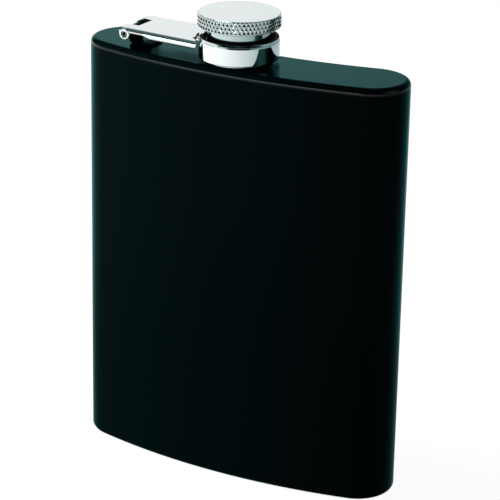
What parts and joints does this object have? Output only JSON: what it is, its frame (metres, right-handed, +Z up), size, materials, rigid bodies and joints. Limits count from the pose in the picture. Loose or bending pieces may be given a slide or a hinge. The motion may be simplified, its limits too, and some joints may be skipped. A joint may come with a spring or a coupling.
{
  "type": "hip flask",
  "caption": "Bent pocket flask with a satin black body, a threaded neck in a plated collar, and a knurled screw cap held captive on a hinged arm.",
  "frame": {"origin": "on the flat underside of the base, below the axis of the neck, midway between the body's two faces", "axes": "+Z up along the neck, +X along the width away from the hinge, -Y out of the convex front face"},
  "size_m": [0.095, 0.026, 0.1308],
  "materials": {
    "wrap": "satin black coating",
    "top": "satin black coating",
    "base": "satin black coating",
    "neck": "turned stainless steel",
    "collar": "polished plating",
    "strap": "satin black coating",
    "arm": "polished plating",
    "pin": "turned stainless steel",
    "crown": "polished plating",
    "sleeve": "polished plating",
    "pad": "milky silicone"
  },
  "bodies": {
    "flask": {"body_wrap": "wrap", "top_plate": "top", "base_plate": "base", "neck": "neck", "neck_collar": "collar", "hinge_strap": "strap"},
    "arm": {"cap_arm": "arm", "hinge_pin": "pin"},
    "seal": {"cap_pad": "pad"},
    "cap": {"cap_crown": "crown", "cap_sleeve": "sleeve"}
  },
  "joints": [
    {"name": "arm_swing", "type": "hinge", "parent": "flask", "child": "arm", "pos_m": [-0.03158, 0.0011, 0.12125], "axis": [-0.0349, -0.9994, 0], "range_deg": [0, 185]},
    {"name": "cap_lift", "type": "slide", "parent": "arm", "child": "seal", "axis": [0, 0, 1], "range_m": [0, 0.003]},
    {"name": "cap_turn", "type": "hinge", "parent": "seal", "child": "cap", "pos_m": [0, 0, 0.1245], "axis": [0, 0, 1], "range_deg": [0, 720]}
  ],
  "couplings": [
    {"joint": "cap_lift", "follows": "cap_turn", "m_per_rad": 0.00023873}
  ]
}
